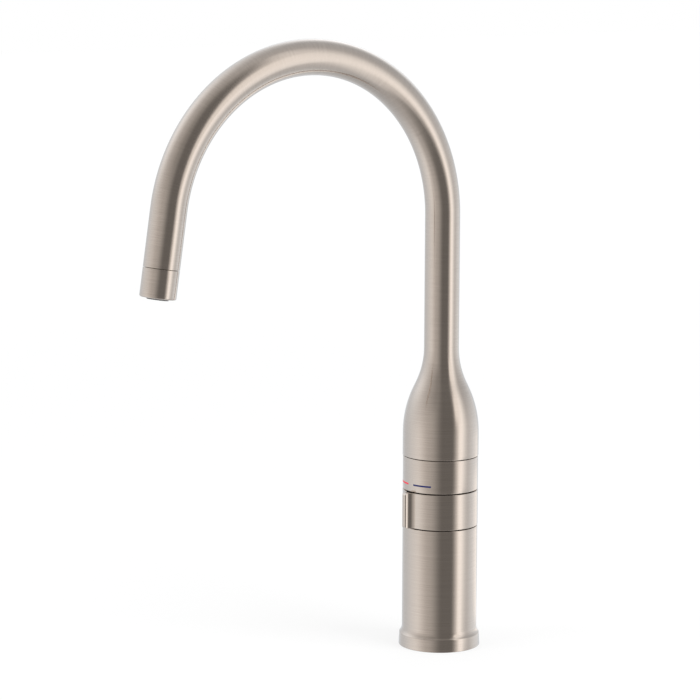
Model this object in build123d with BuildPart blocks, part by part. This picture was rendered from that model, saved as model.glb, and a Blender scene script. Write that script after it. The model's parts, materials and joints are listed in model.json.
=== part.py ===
from build123d import *
import math
import os

# Electronic kitchen tap, in millimetres.
# +Z is up along the body's axis, z = 0 is the top of the worktop, and the spout points to -Y at rest.
# Hot is on the left (-X) of someone who faces the tap from -Y, and cold is on the right (+X).

# Clearances
slip_gap = 0.05        # radial, between pieces that are pushed together and stay
turn_gap = 0.06        # radial, between a shaft and the bore that it turns in
face_gap = 0.05        # axial, between faces that slide on each other
stop_gap = 0.15        # between a pin and the end of its slot at the limit
side_gap = 0.3         # between a pin and the sides of its slot, and round loose inner pieces

# Casing and foot
casing_r = 24.77
casing_height = 81.0
casing_bore_r = 22.0
casing_lip = 5.0
foot_band_height = 8.8
foot_band_r = 26.47
foot_base_r = 26.85
foot_edge_round = 1.0
foot_flare_r = 6.7
foot_base_round = 0.4
edge_break = 0.3       # chamfer of the visible turned edges
cut_over = 1.0         # how far a cut runs past the skin that it opens

# Base gasket
gasket_inner_r = 23.2
gasket_outer_r = 25.4
gasket_depth = 2.0

# Control ring and its radial fin
ring_r = 24.9
ring_height = 23.5
ring_gap_below = 0.6   # dark joint between casing and ring
ring_gap_above = 0.7   # dark joint between ring and index ring
fin_reach = 5.3
fin_half_thick = 1.85
fin_root_r = 4.4
fin_edge_r = 0.9
fin_corner_r = 2.0
ring_travel = 37.0     # degrees each way

# Index ring and its two marks
index_r = 24.8
index_height = 21.85
index_wall = 2.2
index_web = 3.0
index_spigot = 1.2     # how far the column's top stands into the ring
mark_height = 1.0
mark_depth = 0.3
mark_above_edge = 4.5
mark_centre_angle = 2.9
mark_gap_angle = 10.4
mark_angle = 31.3

# Spout: bottle shoulder, gooseneck and outlet
spout_joint = 0.4      # joint between index ring and spout
shoulder_r = 25.0
shoulder_side = 15.0
shoulder_round = 70.0
neck_round = 54.0
flank_angle = 25.5
tube_r = 11.45
spout_wall = 1.5
arch_spring_height = 286.7
arch_r = 105.7
arch_turn = 171.14
outlet_run = 36.1
swivel_travel = 75.0   # degrees each way

# Aerator
collar_gap = 0.35
collar_length = 18.2
collar_end_round = 1.1
collar_lip_length = 3.2
collar_lip_r = 8.9
nipple_wall = 1.6
nipple_in_tube = 10.0
nipple_in_collar = 7.0
aerator_seal_thick = 1.5
nozzle_r = 6.8
nozzle_wall = 0.9
nozzle_reach = 0.85
screen_thick = 0.6
comb_across = 2.0
comb_web = 0.5
comb_depth = 3.0

# Casting with the water ways
floor_recess = 3.0
flange_thick = 9.0
head_thick = 6.0
spigot_length = 8.0
spigot_r = 18.75
way_count = 4          # hot, cold, mixed and the mixed water's return
way_pitch_r = 11.0
way_r = 3.5
leg_r = 6.0
core_r = 7.0
port_thread_r = 4.46   # M10 x 1
port_depth = 12.0
stud_thread_r = 2.46   # M6
service_pitch_r = 14.0
cross_below_head = 6.0

# Ceramic discs
disc_r = 17.0
disc_bore_r = 4.4
fixed_disc_thick = 4.0
mixing_disc_r = 15.5
mixing_disc_thick = 4.5
window_half_angle = 16.0
window_width = 7.0
pocket_depth = 2.5
key_width = 4.0
key_height = 2.0
key_depth = 2.5
key_angles = (45, 135)

# Seals and glide rings
port_seal_wall = 1.5
port_seal_thick = 1.5
ring_seal_half = 0.9   # half the width of the square seals, at their squeezed size
glide_width = 3.4
glide_thick = 1.75
washer_thick = 1.0

# Column, spindle and riser tube
post_r = 18.0
column_bore_r = 11.06
cap_web = 3.0
column_top_thick = 8.0
spindle_flange_thick = 3.4
spindle_land = 8.0
spindle_groove_rise = 1.0
spindle_wall = 3.5
pin_r = 2.0
pin_in_ring = 2.8
riser_r = 4.0
riser_wall = 0.8
riser_seat = 9.5

# Swivel post and the bush in the spout
shank_r = 9.95
post_flange_r = 18.0
post_flange_thick = 3.0
swivel_r = 14.0
swivel_length = 38.0
swivel_bore_r = 6.5
spout_ring_thick = 1.5
limit_groove_depth = 2.2
seal_pitch = 4.3
seal_below_top = 3.0
guide_ring_rise = 2.0  # above the bush's lower edge
guide_ring_height = 4.0
guide_ring_depth = 1.2
screw_r = 2.5
screw_tip_r = 1.9
screw_height = 5.5     # above the spout's lower edge
screw_socket_across = 2.5
screw_below_skin = 0.6
bush_neck_r = 18.5
bush_relief = 3.5
bush_land = 1.0        # from the relief to the guide ring and to the screw
bush_skirt_gap = 0.45

# Touch sensor capsule
sensor_length = 8.0
sensor_width = 7.0
sensor_height = 24.0
sensor_in_r = 12.5
sensor_round = 1.0
tab_length = 5.0
tab_width = 6.0
tab_thick = 2.0
tab_in = 1.3
sensor_screw_r = 1.25
sensor_screw_depth = 8.0
sensor_screw_head_r = 2.4
sensor_screw_head = 1.8
lead_hole_r = 3.2
lead_r = 1.8
grommet_head_r = 3.7
grommet_head = 1.3

# Angles, seen from above and counted from +X: the spout's side is the front
front, cold_side, back, hot_side = -90, 0, 90, 180
stud_angles = (45, 225)
lead_angle = 135
sensor_angle = 315

# Heights up the stack
ring_low = casing_height + ring_gap_below
ring_high = ring_low + ring_height
index_low = ring_high + ring_gap_above
index_high = index_low + index_height
spout_low = index_high + spout_joint
column_high = index_low + index_spigot
cap_high = casing_height - casing_lip
cap_low_face = cap_high - cap_web
washer_low = cap_low_face - washer_thick
spindle_flange_high = washer_low - face_gap
spindle_flange_low = spindle_flange_high - spindle_flange_thick
mixing_disc_high = spindle_flange_low - face_gap
mixing_disc_low = mixing_disc_high - mixing_disc_thick
fixed_disc_high = mixing_disc_low - face_gap
disc_seat = fixed_disc_high - fixed_disc_thick
head_high = disc_seat - spigot_length
head_low = head_high - head_thick
flange_high = floor_recess + flange_thick
pin_height = (ring_low + ring_high) / 2
shank_low = column_high - column_top_thick
spindle_high = shank_low - 2 * side_gap
post_flange_low = column_high + index_web
post_flange_high = post_flange_low + post_flange_thick
riser_low = disc_seat - riser_seat
riser_high = post_flange_high
post_high = post_flange_high + swivel_length
bush_low = post_flange_high + spout_ring_thick + face_gap
shoulder_top = spout_low + shoulder_side
screw_axis_height = spout_low + screw_height

# Radii that follow from their mates
flange_r = casing_bore_r - slip_gap
column_pass_r = post_r + slip_gap
ring_bore_r = post_r + turn_gap
spindle_r = column_bore_r - turn_gap
chamber_r = disc_r + side_gap
glide_inner_r = post_r + 2 * slip_gap
glide_outer_r = glide_inner_r + glide_width
key_inner_r = mixing_disc_r - key_depth
index_bore_r = index_r - index_wall
bush_bore_r = swivel_r + turn_gap
bush_top_r = shoulder_r - spout_wall - slip_gap
bush_skirt_r = index_bore_r - bush_skirt_gap
tube_bore_r = tube_r - spout_wall
nipple_r = tube_bore_r - slip_gap
nipple_bore_r = nipple_r - nipple_wall
pin_in_r = spindle_r - spindle_wall + 2 * slip_gap
pin_out_r = ring_bore_r + pin_in_ring
groove_floor_r = swivel_r - limit_groove_depth
rubber_groove_r = bush_bore_r - 2 * ring_seal_half - 2 * slip_gap

# The S-curve of the bottle: shoulder round, straight flank, neck round
flank = math.radians(flank_angle)
s_curve_radii = shoulder_round + neck_round
flank_length = (shoulder_r - tube_r - s_curve_radii * (1 - math.cos(flank))) / math.sin(flank)

# The arch lies in the YZ plane, and the outlet pieces lie along its end
turn = math.radians(arch_turn)
arch_end = Vector(0, -arch_r + arch_r * math.cos(turn), arch_spring_height + arch_r * math.sin(turn))
flow = Vector(0, -math.sin(turn), math.cos(turn))
outlet_axis = Axis(arch_end, flow)
outlet_section = Plane(origin=arch_end, x_dir=(1, 0, 0), z_dir=Vector(1, 0, 0).cross(flow))

# Places along the outlet, counted from the arch's end
collar_start = outlet_run + collar_gap
collar_end = collar_start + collar_length
collar_lip_start = collar_end - collar_lip_length
nipple_start = outlet_run - nipple_in_tube
nipple_end = collar_start + nipple_in_collar
cartridge_start = nipple_end + aerator_seal_thick
nozzle_end = collar_end + nozzle_reach


def ring_section(inner, outer, low, high, mode=Mode.ADD):
    """Rectangle of a section sketch, between two radii and two heights."""
    with Locations((inner, low)):
        Rectangle(outer - inner, high - low, align=(Align.MIN, Align.MIN), mode=mode)


def sector(inner, outer, middle, half_angle):
    """Part of a ring in a plan sketch, either side of an angle."""
    with BuildLine() as outline:
        outer_arc = CenterArc((0, 0), outer, middle - half_angle, 2 * half_angle)
        inner_arc = CenterArc((0, 0), inner, middle - half_angle, 2 * half_angle)
        Line(outer_arc @ 0, inner_arc @ 0)
        Line(outer_arc @ 1, inner_arc @ 1)
    make_face(outline.edges())


def bottle_face(inset):
    """Half section of the spout's foot, a constant distance inside its outer skin."""
    with BuildLine() as outline:
        side = Line((shoulder_r - inset, spout_low), (shoulder_r - inset, shoulder_top))
        shoulder = JernArc(side @ 1, side % 1, shoulder_round - inset, flank_angle)
        straight = Line(shoulder @ 1, shoulder @ 1 + (shoulder % 1) * flank_length)
        neck = JernArc(straight @ 1, straight % 1, neck_round + inset, -flank_angle)
        Polyline(neck @ 1, (0, (neck @ 1).Y), (0, spout_low), side @ 0)
    make_face(outline.edges())


def plan(height):
    """Horizontal sketch plane."""
    return Plane.XY.offset(height)


def round_the_back(height, radius):
    """Sketch plane that faces +Y, at a height and a distance behind the axis."""
    return Plane(origin=(0, radius, height), x_dir=(-1, 0, 0), z_dir=(0, 1, 0))


def radial_plan(height, angle):
    """Horizontal sketch plane whose X points outwards at an angle."""
    direction = (math.cos(math.radians(angle)), math.sin(math.radians(angle)), 0)
    return Plane(origin=(0, 0, height), x_dir=direction, z_dir=(0, 0, 1))


def along_outlet(distance):
    """Sketch plane square to the flow, at a distance from the arch's end."""
    return Plane(origin=arch_end + flow * distance, x_dir=(1, 0, 0), z_dir=flow)


def on_circle(radius, angle):
    return (radius * math.cos(math.radians(angle)), radius * math.sin(math.radians(angle)))


def save(part, label):
    part.label = label
    export_step(part, f"parts/{label}.step")


os.makedirs("parts", exist_ok=True)

# Casing: a turned sleeve whose foot flares out to a short band
flare_turn = math.acos(1 - (foot_band_r - casing_r) / (foot_flare_r + foot_edge_round))
flare_top = foot_band_height + (foot_flare_r + foot_edge_round) * math.sin(flare_turn)
glide_seat = ring_low - face_gap - glide_thick
with BuildPart() as body_shell:
    with BuildSketch(Plane.XZ):
        with BuildLine():
            band = Line((foot_base_r, 0), (foot_band_r, foot_band_height))
            edge = JernArc(band @ 1, (0, 1), foot_edge_round, math.degrees(flare_turn))
            flare = JernArc(edge @ 1, edge % 1, foot_flare_r, -math.degrees(flare_turn))
            Polyline(
                flare @ 1,
                (casing_r, casing_height),
                (glide_outer_r + slip_gap, casing_height),
                (glide_outer_r + slip_gap, glide_seat),
                (column_pass_r, glide_seat),
                (column_pass_r, cap_high),
                (casing_bore_r, cap_high),
                (casing_bore_r, 0),
                band @ 0,
            )
        make_face()
        ring_section(gasket_inner_r, gasket_outer_r, 0, gasket_depth, mode=Mode.SUBTRACT)
    revolve(axis=Axis.Z)
    top_edges = body_shell.edges().filter_by(GeomType.CIRCLE).group_by(Axis.Z)[-1]
    chamfer(top_edges.sort_by(SortBy.RADIUS)[-1], edge_break)
    foot_edges = body_shell.edges().filter_by(GeomType.CIRCLE).group_by(Axis.Z)[0]
    chamfer(foot_edges.sort_by(SortBy.RADIUS)[-1], foot_base_round)
save(body_shell.part, "body_shell")

# Gasket, flush with the underside of the foot
with BuildPart() as base_gasket:
    with BuildSketch(Plane.XZ):
        ring_section(gasket_inner_r + slip_gap, gasket_outer_r - slip_gap, 0, gasket_depth)
    revolve(axis=Axis.Z)
save(base_gasket.part, "base_gasket")

# Casting: flange, four bored legs and head
way_angles = (hot_side, cold_side, front)
cross_height = head_low - cross_below_head
riser_bore_r = riser_r - riser_wall
seal_seat_r = way_r + port_seal_wall + slip_gap
riser_seal_seat_r = riser_r + port_seal_wall
with BuildPart() as valve_body:
    with BuildSketch(plan(floor_recess)):
        Circle(flange_r)
    extrude(amount=flange_thick)
    with BuildSketch(plan(flange_high)):
        Circle(core_r)
        with PolarLocations(way_pitch_r, way_count):
            Circle(leg_r)
    extrude(amount=head_low - flange_high)
    with BuildSketch(plan(head_low)):
        Circle(flange_r)
    extrude(amount=head_thick)
    with BuildSketch(plan(head_high)):
        Circle(spigot_r)
    extrude(amount=spigot_length)
    with BuildSketch(plan(disc_seat)):
        for angle in key_angles:
            sector(key_inner_r, disc_r - slip_gap, angle, math.degrees(key_width / 2 / disc_r))
    extrude(amount=key_height)
    with BuildSketch(plan(floor_recess)):
        with PolarLocations(way_pitch_r, way_count):
            Circle(port_thread_r)
    extrude(amount=port_depth, mode=Mode.SUBTRACT)
    with BuildSketch(plan(floor_recess)):
        with Locations(*[on_circle(way_pitch_r, angle) for angle in way_angles]):
            Circle(way_r)
    extrude(amount=disc_seat - floor_recess, mode=Mode.SUBTRACT)
    with BuildSketch(plan(disc_seat)):
        with Locations(*[on_circle(way_pitch_r, angle) for angle in way_angles]):
            Circle(seal_seat_r)
    extrude(amount=-port_seal_thick, mode=Mode.SUBTRACT)
    with BuildSketch(plan(floor_recess)):
        with Locations(on_circle(way_pitch_r, back)):
            Circle(way_r)
    extrude(amount=cross_height + riser_bore_r - floor_recess, mode=Mode.SUBTRACT)
    with BuildSketch(round_the_back(cross_height, 0)):
        Circle(riser_bore_r)
    extrude(amount=way_pitch_r, mode=Mode.SUBTRACT)
    with BuildSketch(Plane.XZ):
        ring_section(0, riser_bore_r, cross_height - riser_bore_r, disc_seat)
        ring_section(0, riser_r + slip_gap, riser_low, disc_seat)
        ring_section(0, riser_seal_seat_r, disc_seat - port_seal_thick, disc_seat)
    revolve(axis=Axis.Z, mode=Mode.SUBTRACT)
    with BuildSketch(plan(floor_recess)):
        with Locations(*[on_circle(service_pitch_r, angle) for angle in stud_angles]):
            Circle(stud_thread_r)
        with Locations(on_circle(service_pitch_r, lead_angle)):
            Circle(lead_hole_r)
    extrude(amount=flange_thick, mode=Mode.SUBTRACT)
    with BuildSketch(radial_plan(flange_high, sensor_angle)):
        with Locations((sensor_in_r + tab_in + tab_length / 2, (sensor_width + tab_width) / 2)):
            Circle(sensor_screw_r + slip_gap)
    extrude(amount=-sensor_screw_depth, mode=Mode.SUBTRACT)
save(valve_body.part, "valve_body")

# Potted sensing capsule with a screw tab, on the flange between two legs
with BuildPart() as touch_sensor:
    with BuildSketch(radial_plan(flange_high, sensor_angle)):
        with Locations((sensor_in_r, 0)):
            Rectangle(sensor_length, sensor_width, align=(Align.MIN, Align.CENTER))
    extrude(amount=sensor_height)
    fillet(touch_sensor.edges().filter_by(Axis.Z), sensor_round)
    chamfer(touch_sensor.edges().group_by(Axis.Z)[-1], sensor_round / 2)
    with BuildSketch(radial_plan(flange_high, sensor_angle)):
        with Locations((sensor_in_r + tab_in, 0)):
            Rectangle(tab_length, sensor_width / 2 + tab_width, align=(Align.MIN, Align.MIN))
        with Locations((sensor_in_r + tab_in + tab_length / 2, (sensor_width + tab_width) / 2)):
            Circle(sensor_screw_r + side_gap, mode=Mode.SUBTRACT)
    extrude(amount=tab_thick)
save(touch_sensor.part, "touch_sensor")

with BuildPart() as sensor_screw:
    with BuildSketch(radial_plan(flange_high + tab_thick, sensor_angle)):
        with Locations((sensor_in_r + tab_in + tab_length / 2, (sensor_width + tab_width) / 2)):
            Circle(sensor_screw_head_r)
    extrude(amount=sensor_screw_head)
    with BuildSketch(radial_plan(flange_high + tab_thick, sensor_angle)):
        with Locations((sensor_in_r + tab_in + tab_length / 2, (sensor_width + tab_width) / 2)):
            Circle(sensor_screw_r)
    extrude(amount=-(tab_thick + sensor_screw_depth - side_gap))
save(sensor_screw.part, "sensor_screw")

# Rubber grommet in the flange, with a head on each side
with BuildPart() as lead_grommet:
    with BuildSketch(radial_plan(floor_recess - grommet_head, lead_angle)):
        with Locations((service_pitch_r, 0)):
            Circle(grommet_head_r)
    extrude(amount=grommet_head)
    with BuildSketch(radial_plan(floor_recess, lead_angle)):
        with Locations((service_pitch_r, 0)):
            Circle(lead_hole_r - slip_gap)
    extrude(amount=flange_thick)
    with BuildSketch(radial_plan(flange_high, lead_angle)):
        with Locations((service_pitch_r, 0)):
            Circle(grommet_head_r)
    extrude(amount=grommet_head)
    with BuildSketch(radial_plan(floor_recess - grommet_head, lead_angle)):
        with Locations((service_pitch_r, 0)):
            Circle(lead_r)
    extrude(amount=flange_thick + 2 * grommet_head, mode=Mode.SUBTRACT)
save(lead_grommet.part, "lead_grommet")

# Moulded seals under the fixed disc, one for each way
with BuildPart() as port_seals:
    with BuildSketch(plan(disc_seat - port_seal_thick)):
        with Locations(*[on_circle(way_pitch_r, angle) for angle in way_angles]):
            Circle(way_r + port_seal_wall)
            Circle(way_r, mode=Mode.SUBTRACT)
    extrude(amount=port_seal_thick)
save(port_seals.part, "port_seals")

# Fixed ceramic disc with kidney windows and two key notches
key_notch_angle = math.degrees((key_width / 2 + slip_gap) / disc_r)
with BuildPart() as fixed_disc:
    with BuildSketch(plan(disc_seat)):
        Circle(disc_r)
        Circle(disc_bore_r, mode=Mode.SUBTRACT)
    extrude(amount=fixed_disc_thick)
    with BuildSketch(plan(disc_seat)):
        for angle in way_angles:
            middle_line = CenterArc((0, 0), way_pitch_r, angle - window_half_angle,
                                    2 * window_half_angle, mode=Mode.PRIVATE)
            SlotArc(middle_line, window_width)
    extrude(amount=fixed_disc_thick, mode=Mode.SUBTRACT)
    with BuildSketch(plan(disc_seat)):
        for angle in key_angles:
            sector(key_inner_r - slip_gap, disc_r + side_gap, angle, key_notch_angle)
    extrude(amount=key_height + slip_gap, mode=Mode.SUBTRACT)
save(fixed_disc.part, "fixed_disc")

# Mixing disc: its pocket always covers the front window, and shares hot and cold as it turns.
# Turned to its limit, the pocket's round end just leaves the window on the other side.
slot_end_angle = math.degrees(window_width / 2 / way_pitch_r)
pocket_half_angle = 90 - slot_end_angle
with BuildPart() as mixing_disc:
    with BuildSketch(plan(mixing_disc_low)):
        Circle(mixing_disc_r)
        Circle(disc_bore_r, mode=Mode.SUBTRACT)
    extrude(amount=mixing_disc_thick)
    with BuildSketch(plan(mixing_disc_low)):
        middle_line = CenterArc((0, 0), way_pitch_r, front - pocket_half_angle,
                                2 * pocket_half_angle, mode=Mode.PRIVATE)
        SlotArc(middle_line, window_width)
    extrude(amount=pocket_depth, mode=Mode.SUBTRACT)
    with BuildSketch(plan(mixing_disc_high)):
        for angle in key_angles:
            sector(key_inner_r - slip_gap, mixing_disc_r + side_gap, angle, key_notch_angle)
    extrude(amount=-(key_height + slip_gap), mode=Mode.SUBTRACT)
save(mixing_disc.part, "mixing_disc")

# Hollow spindle: flange with two tabs for the disc, sealing land, and sleeve for the drive pin
spindle_groove_low = cap_high + spindle_groove_rise
spindle_groove_high = spindle_groove_low + 2 * ring_seal_half + face_gap
spindle_seal_height = (spindle_groove_low + spindle_groove_high) / 2
spindle_groove_r = column_bore_r - 2 * ring_seal_half - 2 * slip_gap
spindle_bore_r = riser_r + side_gap
inner_groove_r = riser_r + 2 * ring_seal_half + 2 * slip_gap
with BuildPart() as spindle:
    with BuildSketch(Plane.XZ):
        ring_section(spindle_bore_r, mixing_disc_r, spindle_flange_low, spindle_flange_high)
        ring_section(spindle_bore_r, spindle_r, spindle_flange_high, cap_high + spindle_land)
        ring_section(spindle_r - spindle_wall, spindle_r, cap_high + spindle_land, spindle_high)
        ring_section(spindle_groove_r, spindle_r, spindle_groove_low, spindle_groove_high,
                     mode=Mode.SUBTRACT)
        ring_section(spindle_bore_r, inner_groove_r, spindle_groove_low, spindle_groove_high,
                     mode=Mode.SUBTRACT)
    revolve(axis=Axis.Z)
    with BuildSketch(plan(spindle_flange_low)):
        for angle in key_angles:
            sector(key_inner_r, mixing_disc_r, angle, math.degrees(key_width / 2 / disc_r))
    extrude(amount=-key_height)
    with BuildSketch(round_the_back(pin_height, 0)):
        Circle(pin_r + slip_gap)
    extrude(amount=spindle_r + cut_over, mode=Mode.SUBTRACT)
save(spindle.part, "spindle")

with BuildPart() as spindle_seals:
    with BuildSketch(Plane.XZ):
        for centre_r in (column_bore_r - slip_gap - ring_seal_half, riser_r + slip_gap + ring_seal_half):
            with Locations((centre_r, spindle_seal_height)):
                Rectangle(2 * ring_seal_half, 2 * ring_seal_half)
    revolve(axis=Axis.Z)
save(spindle_seals.part, "spindle_seals")

# Column: cap over the discs, and a post with the arc slot that limits the ring
slot_half_angle = ring_travel + math.degrees(math.asin((pin_r + stop_gap) / column_bore_r))
with BuildPart() as column:
    with BuildSketch(Plane.XZ):
        ring_section(spigot_r + slip_gap, flange_r, head_high, disc_seat)
        ring_section(chamber_r, flange_r, disc_seat, cap_low_face)
        ring_section(column_bore_r, flange_r, cap_low_face, cap_high)
        ring_section(column_bore_r, post_r, cap_high, column_high)
        ring_section(shank_r + slip_gap, post_r, shank_low, column_high)
        ring_section(shank_r + slip_gap, column_bore_r, shank_low, column_high)
    revolve(axis=Axis.Z)
    with BuildSketch(plan(pin_height - pin_r - side_gap)):
        sector(column_bore_r - cut_over, post_r + cut_over, back, slot_half_angle)
    extrude(amount=2 * (pin_r + side_gap), mode=Mode.SUBTRACT)
save(column.part, "column")

with BuildPart() as thrust_washer:
    with BuildSketch(Plane.XZ):
        ring_section(column_bore_r + side_gap, mixing_disc_r, washer_low, cap_low_face)
    revolve(axis=Axis.Z)
save(thrust_washer.part, "thrust_washer")

# Threaded pin from the spindle, through the column's slot, into the keyway of the ring
with BuildPart() as drive_pin:
    with BuildSketch(round_the_back(pin_height, pin_in_r)):
        Circle(pin_r)
    extrude(amount=pin_out_r - pin_in_r)
    chamfer(drive_pin.edges().group_by(Axis.Y)[-1], edge_break)
save(drive_pin.part, "drive_pin")

# Control ring: the fin grows out of the ring through two hollow fillets
fin_tip = ring_r + fin_reach
with BuildPart() as control_ring:
    with BuildSketch(plan(ring_low)) as fin_plan:
        Circle(ring_r)
        with Locations((0, -fin_tip / 2)):
            Rectangle(2 * fin_half_thick, fin_tip)
        corners = fin_plan.vertices().sort_by(Axis.Y)
        fillet(corners[0:2], fin_edge_r)
        roots = fin_plan.vertices().filter_by(
            lambda v: abs(abs(v.X) - fin_half_thick) < 1e-3 and -ring_r < v.Y < 0
        )
        fillet(roots, fin_root_r)
    extrude(amount=ring_height)
    chamfer(control_ring.edges().group_by(Axis.Z)[-1], edge_break)
    chamfer(control_ring.edges().group_by(Axis.Z)[0], edge_break)
    with BuildSketch(Plane.YZ):
        for height, side in ((ring_low, 1), (ring_high, -1)):
            with Locations((-fin_tip, height)):
                Rectangle(2 * fin_corner_r, 2 * fin_corner_r)
            with Locations((-fin_tip + fin_corner_r, height + side * fin_corner_r)):
                Circle(fin_corner_r, mode=Mode.SUBTRACT)
                Rectangle(2 * fin_corner_r, fin_corner_r * 4, align=(Align.MIN, Align.CENTER),
                          mode=Mode.SUBTRACT)
    extrude(amount=2 * fin_half_thick, both=True, mode=Mode.SUBTRACT)
    with BuildSketch(plan(ring_low)):
        Circle(ring_bore_r)
    extrude(amount=ring_height, mode=Mode.SUBTRACT)
    with BuildSketch(plan(ring_high)):
        Circle(glide_outer_r + side_gap)
    extrude(amount=-(glide_thick + face_gap - ring_gap_above), mode=Mode.SUBTRACT)
    with BuildSketch(plan(ring_low)):
        with Locations((0, ring_bore_r)):
            Rectangle(2 * (pin_r + slip_gap), 2 * (pin_in_ring + side_gap))
    extrude(amount=pin_height + pin_r + side_gap - ring_low, mode=Mode.SUBTRACT)
save(control_ring.part, "control_ring")

# Glide rings under and over the control ring
with BuildPart() as lower_glide_ring:
    with BuildSketch(Plane.XZ):
        ring_section(glide_inner_r, glide_outer_r, glide_seat, ring_low - face_gap)
    revolve(axis=Axis.Z)
save(lower_glide_ring.part, "lower_glide_ring")

with BuildPart() as upper_glide_ring:
    with BuildSketch(Plane.XZ):
        ring_section(glide_inner_r, glide_outer_r, index_low - glide_thick, index_low)
    revolve(axis=Axis.Z)
save(upper_glide_ring.part, "upper_glide_ring")

# Index ring, clamped on the column's top, and the enamel marks in its two grooves
mark_low = index_low + mark_above_edge - mark_height / 2
mark_offset = (mark_gap_angle + mark_angle) / 2
hot_mark_angle = front + mark_centre_angle - mark_offset
cold_mark_angle = front + mark_centre_angle + mark_offset
with BuildPart() as index_ring:
    with BuildSketch(Plane.XZ):
        ring_section(post_r + slip_gap, index_r, index_low, column_high)
        ring_section(shank_r + slip_gap, index_r, column_high, post_flange_low)
        ring_section(index_bore_r, index_r, post_flange_low, index_high)
    revolve(axis=Axis.Z)
    outer_edges = index_ring.edges().filter_by(GeomType.CIRCLE).group_by(SortBy.RADIUS)[-1]
    chamfer(outer_edges, edge_break)
    with BuildSketch(plan(mark_low)):
        for angle in (hot_mark_angle, cold_mark_angle):
            sector(index_r - mark_depth, index_r + cut_over, angle, mark_angle / 2)
    extrude(amount=mark_height, mode=Mode.SUBTRACT)
save(index_ring.part, "index_ring")

with BuildPart() as hot_mark:
    with BuildSketch(plan(mark_low)):
        sector(index_r - mark_depth, index_r, hot_mark_angle, mark_angle / 2)
    extrude(amount=mark_height)
save(hot_mark.part, "hot_mark")

with BuildPart() as cold_mark:
    with BuildSketch(plan(mark_low)):
        sector(index_r - mark_depth, index_r, cold_mark_angle, mark_angle / 2)
    extrude(amount=mark_height)
save(cold_mark.part, "cold_mark")

# Riser tube, from the casting through discs, spindle and column to the swivel post
with BuildPart() as riser_tube:
    with BuildSketch(Plane.XZ):
        ring_section(riser_r - riser_wall, riser_r, riser_low, riser_high)
    revolve(axis=Axis.Z)
save(riser_tube.part, "riser_tube")

with BuildPart() as riser_seals:
    with BuildSketch(Plane.XZ):
        ring_section(riser_r + slip_gap, riser_seal_seat_r - slip_gap,
                     disc_seat - port_seal_thick, disc_seat)
        ring_section(riser_r + slip_gap, riser_seal_seat_r - slip_gap,
                     shank_low, shank_low + port_seal_thick)
    revolve(axis=Axis.Z)
save(riser_seals.part, "riser_seals")

# Swivel post: shank in the column, flange on the index ring, and journal with its grooves
upper_seal_height = post_high - seal_below_top
seal_heights = (upper_seal_height - seal_pitch, upper_seal_height)
guide_low = bush_low + guide_ring_rise
limit_half_angle = swivel_travel + math.degrees(math.asin((screw_tip_r + stop_gap) / groove_floor_r))
with BuildPart() as swivel_post:
    with BuildSketch(Plane.XZ):
        ring_section(riser_r + slip_gap, shank_r, shank_low, post_flange_low)
        ring_section(riser_r + slip_gap, post_flange_r, post_flange_low, post_flange_high)
        ring_section(swivel_bore_r, swivel_r, post_flange_high, post_high)
        ring_section(riser_r + slip_gap, riser_seal_seat_r, shank_low, shank_low + port_seal_thick,
                     mode=Mode.SUBTRACT)
        ring_section(swivel_r - guide_ring_depth, swivel_r, guide_low, guide_low + guide_ring_height,
                     mode=Mode.SUBTRACT)
        for height in seal_heights:
            ring_section(rubber_groove_r, swivel_r, height - ring_seal_half - face_gap,
                         height + ring_seal_half + face_gap, mode=Mode.SUBTRACT)
    revolve(axis=Axis.Z)
    with BuildSketch(plan(screw_axis_height - screw_tip_r - side_gap)):
        sector(groove_floor_r, swivel_r + cut_over, back, limit_half_angle)
    extrude(amount=2 * (screw_tip_r + side_gap), mode=Mode.SUBTRACT)
    top_circles = swivel_post.edges().filter_by(GeomType.CIRCLE).group_by(Axis.Z)[-1]
    chamfer(top_circles.sort_by(SortBy.RADIUS)[-1], 2 * edge_break)
save(swivel_post.part, "swivel_post")

with BuildPart() as swivel_seals:
    with BuildSketch(Plane.XZ):
        with Locations(*[(bush_bore_r - slip_gap - ring_seal_half, height) for height in seal_heights]):
            Rectangle(2 * ring_seal_half, 2 * ring_seal_half)
    revolve(axis=Axis.Z)
save(swivel_seals.part, "swivel_seals")

with BuildPart() as swivel_guide_ring:
    with BuildSketch(Plane.XZ):
        ring_section(swivel_r - guide_ring_depth + slip_gap, bush_bore_r - turn_gap / 2,
                     guide_low + face_gap, guide_low + guide_ring_height - face_gap)
    revolve(axis=Axis.Z)
save(swivel_guide_ring.part, "swivel_guide_ring")

with BuildPart() as spout_thrust_ring:
    with BuildSketch(Plane.XZ):
        ring_section(swivel_r + slip_gap, post_flange_r, post_flange_high,
                     post_flange_high + spout_ring_thick)
    revolve(axis=Axis.Z)
save(spout_thrust_ring.part, "spout_thrust_ring")

# Bush in the spout's foot: skirt inside the index ring, body in the spout, neck over the seals
bush_body_high = shoulder_top - side_gap
relief_low = guide_low + guide_ring_height + bush_land
relief_high = screw_axis_height - screw_r - bush_land
with BuildPart() as spout_bush:
    with BuildSketch(Plane.XZ):
        ring_section(bush_bore_r, bush_skirt_r, bush_low, spout_low)
        ring_section(bush_bore_r, bush_top_r, spout_low, bush_body_high)
        ring_section(bush_bore_r, bush_neck_r, bush_body_high, post_high + face_gap)
        ring_section(bush_bore_r, bush_bore_r + bush_relief, relief_low, relief_high,
                     mode=Mode.SUBTRACT)
    revolve(axis=Axis.Z)
    with BuildSketch(round_the_back(screw_axis_height, 0)):
        Circle(screw_r + slip_gap)
    extrude(amount=bush_top_r + cut_over, mode=Mode.SUBTRACT)
save(spout_bush.part, "spout_bush")

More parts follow.
